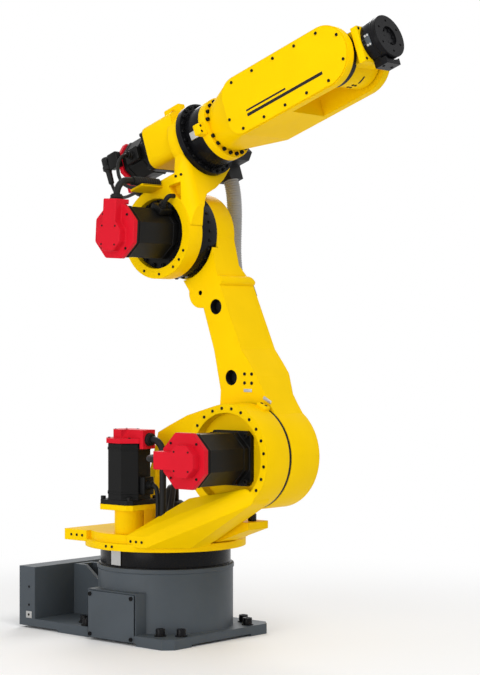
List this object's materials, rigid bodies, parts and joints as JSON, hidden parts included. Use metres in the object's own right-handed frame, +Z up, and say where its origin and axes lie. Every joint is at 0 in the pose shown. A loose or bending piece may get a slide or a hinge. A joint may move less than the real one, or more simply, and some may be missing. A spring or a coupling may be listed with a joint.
{
  "type": "industrial robot arm",
  "caption": "Floor-standing jointed industrial arm with a turning pedestal, swinging lower arm, rolling forearm, fork wrist and a tool flange, driven by exposed servo motors.",
  "frame": {"origin": "on the waist axis at floor level, at the centre of the anchor holes", "axes": "+X forward, the way the arm reaches; +Y to the arm's left; +Z up along the waist axis"},
  "size_m": [1.4412, 0.6419, 1.9745],
  "materials": {
    "yellow_paint": "smooth satin yellow paint over cast metal",
    "gray_paint": "smooth gray paint over cast metal",
    "black_metal": "black coated steel",
    "motor_black": "black painted motor housing",
    "motor_red": "red moulded encoder cap",
    "cable_black": "black cable jacket",
    "clamp_black": "matt black clamp",
    "hose_gray": "gray ribbed conduit",
    "bare_steel": "brushed"
  },
  "bodies": {
    "base": {"base_casting": "gray_paint", "base_side_cover": "gray_paint", "waist_reducer_ring": "black_metal"},
    "turret": {"turret_casting": "yellow_paint", "waist_motor_seat": "yellow_paint", "waist_motor_body": "motor_black", "waist_motor_cap": "motor_red", "waist_motor_cable": "cable_black", "shoulder_motor_body": "motor_black", "shoulder_motor_cap": "motor_red", "shoulder_motor_cable": "cable_black", "shoulder_reducer_ring": "black_metal", "shoulder_stop_bumper": "clamp_black", "turntable_pointer": "bare_steel"},
    "lower_arm": {"lower_arm_casting": "yellow_paint", "shoulder_end_cover": "yellow_paint", "lower_hose_clamp": "clamp_black"},
    "upper_arm": {"upper_arm_casting": "yellow_paint", "lifting_eye": "yellow_paint", "elbow_reducer_ring": "black_metal", "elbow_motor_flange": "motor_black", "elbow_motor_body": "motor_black", "elbow_motor_cap": "motor_red", "elbow_motor_cable": "cable_black", "roll_motor_body": "motor_black", "roll_motor_cap": "motor_red", "roll_motor_cable": "cable_black", "roll_reducer_ring": "black_metal", "cable_bracket": "yellow_paint", "upper_hose_clamp": "clamp_black", "conduit_hose": "hose_gray"},
    "forearm": {"forearm_casting": "yellow_paint", "forearm_bearing_ring": "black_metal", "forearm_cover_right": "yellow_paint", "forearm_cover_left": "yellow_paint"},
    "wrist": {"wrist_casting": "yellow_paint", "tool_drive_housing": "black_metal", "wrist_guard_block": "black_metal"},
    "flange": {"tool_flange": "black_metal"}
  },
  "joints": [
    {"name": "j1_turn", "type": "hinge", "parent": "base", "child": "turret", "pos_m": [0, 0, 0.303], "axis": [0, 0, 1], "range_deg": [-180, 180]},
    {"name": "j2_swing", "type": "hinge", "parent": "turret", "child": "lower_arm", "pos_m": [0.405, 0, 0.615], "axis": [0, 1, 0], "range_deg": [-45, 90]},
    {"name": "j3_swing", "type": "hinge", "parent": "lower_arm", "child": "upper_arm", "pos_m": [0.08952, 0, 1.33709], "axis": [0, -1, 0], "range_deg": [-70, 130], "deforming": ["conduit_hose"]},
    {"name": "j4_roll", "type": "hinge", "parent": "upper_arm", "child": "forearm", "pos_m": [0.18257, 0, 1.65046], "axis": [0.9455, 0, 0.3256], "range_deg": [-360, 360]},
    {"name": "j5_bend", "type": "hinge", "parent": "forearm", "child": "wrist", "pos_m": [0.76407, 0, 1.85068], "axis": [0, -1, 0], "range_deg": [-125, 125]},
    {"name": "j6_turn", "type": "hinge", "parent": "wrist", "child": "flange", "pos_m": [0.9371, 0, 1.91026], "axis": [0.9455, 0, 0.3256], "range_deg": [-360, 360]}
  ]
}
